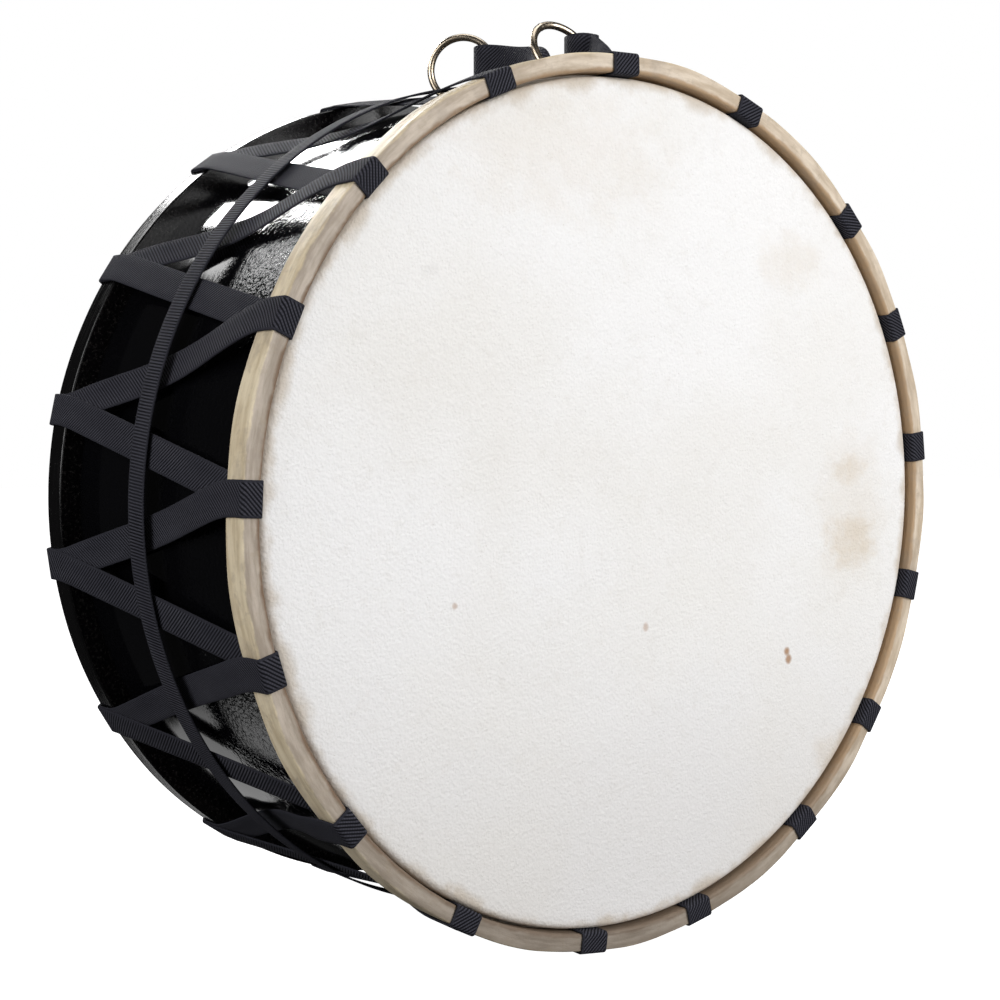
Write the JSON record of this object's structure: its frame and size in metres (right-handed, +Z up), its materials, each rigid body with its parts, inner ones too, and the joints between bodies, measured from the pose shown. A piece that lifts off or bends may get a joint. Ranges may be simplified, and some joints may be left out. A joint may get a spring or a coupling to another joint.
{
  "type": "bass drum",
  "caption": "Two-headed bass drum with a bent-wood shell, hide heads pulled tight by webbing laced between two hoops, a belt round the lacing and steel rings for a shoulder strap.",
  "frame": {"origin": "crown of the belt that runs round the lacing, midway between the two carrying rings, where the drum hangs from its strap", "axes": "+Z up, towards the carrying rings; the drum's axis along Y with the front head facing -Y; +X to the right seen from the front head"},
  "size_m": [0.6044, 0.2802, 0.6501],
  "materials": {
    "shell_lacquer": "high gloss black lacquer over bent wood",
    "hoop_lacquer": "gloss black lacquer, slightly speckled",
    "raw_wood": "bare sanded wood",
    "hide": "scraped rawhide, pale cream, matt with a fine pebbled grain",
    "rear_hide": "thin scraped rawhide, pale cream, matt",
    "webbing": "woven nylon webbing, blue-black, fine diagonal rib",
    "ring_steel": "nickel-plated steel wire"
  },
  "bodies": {
    "drum": {"shell": "shell_lacquer", "shell_ring_front": "raw_wood", "shell_ring_rear": "raw_wood", "front_hoop": "raw_wood", "front_head": "hide", "rear_hoop": "hoop_lacquer", "rear_head": "rear_hide", "lacing_front_loops": "webbing", "lacing_rear_loops": "webbing", "lacing_spans_over_front": "webbing", "lacing_spans_over_rear": "webbing", "belt": "webbing", "ring_tab_rear": "webbing", "ring_tab_front": "webbing"},
    "rear_ring": {"ring_rear": "ring_steel"},
    "front_ring": {"ring_front": "ring_steel"}
  },
  "joints": [
    {"name": "rear_ring_swing", "type": "hinge", "parent": "drum", "child": "rear_ring", "pos_m": [0.01915, 0.0386, 0.023], "axis": [0, 0, 1], "range_deg": [-45, 30]},
    {"name": "front_ring_swing", "type": "hinge", "parent": "drum", "child": "front_ring", "pos_m": [0.0337, -0.054, 0.0192], "axis": [0, 0, 1], "range_deg": [-20, 8]}
  ]
}
